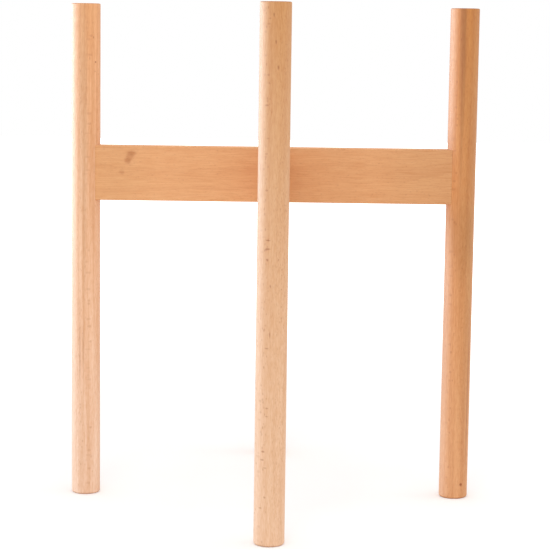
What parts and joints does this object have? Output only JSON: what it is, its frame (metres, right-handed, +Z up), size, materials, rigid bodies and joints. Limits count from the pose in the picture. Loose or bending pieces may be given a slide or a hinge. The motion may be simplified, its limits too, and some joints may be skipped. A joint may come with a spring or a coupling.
{
  "type": "plant stand",
  "caption": "Free-standing beech plant stand: round upright legs joined by crossing rails that slot together; a round pot stands on the rails between the leg tops.",
  "frame": {"origin": "middle of the stand, on the floor", "axes": "+Z up; +X along the base rail, from the left leg to the right leg; +Y along the cross rail, from the front leg to the rear leg"},
  "size_m": [0.352, 0.352, 0.43],
  "materials": {
    "leg_beech": "clear matt oil on turned beech",
    "rail_beech": "clear matt oil on planed beech",
    "dowel_beech": "bare fluted beech"
  },
  "bodies": {
    "base_frame": {"left_leg": "leg_beech", "right_leg": "leg_beech", "base_rail": "rail_beech", "left_upper_dowel": "dowel_beech", "left_lower_dowel": "dowel_beech", "right_upper_dowel": "dowel_beech", "right_lower_dowel": "dowel_beech"},
    "cross_frame": {"front_leg": "leg_beech", "rear_leg": "leg_beech", "cross_rail": "rail_beech", "front_upper_dowel": "dowel_beech", "front_lower_dowel": "dowel_beech", "rear_upper_dowel": "dowel_beech", "rear_lower_dowel": "dowel_beech"}
  },
  "joints": [
    {"name": "cross_frame_lift", "type": "slide", "parent": "base_frame", "child": "cross_frame", "axis": [0, 0, 1], "range_m": [0, 0.05]}
  ]
}
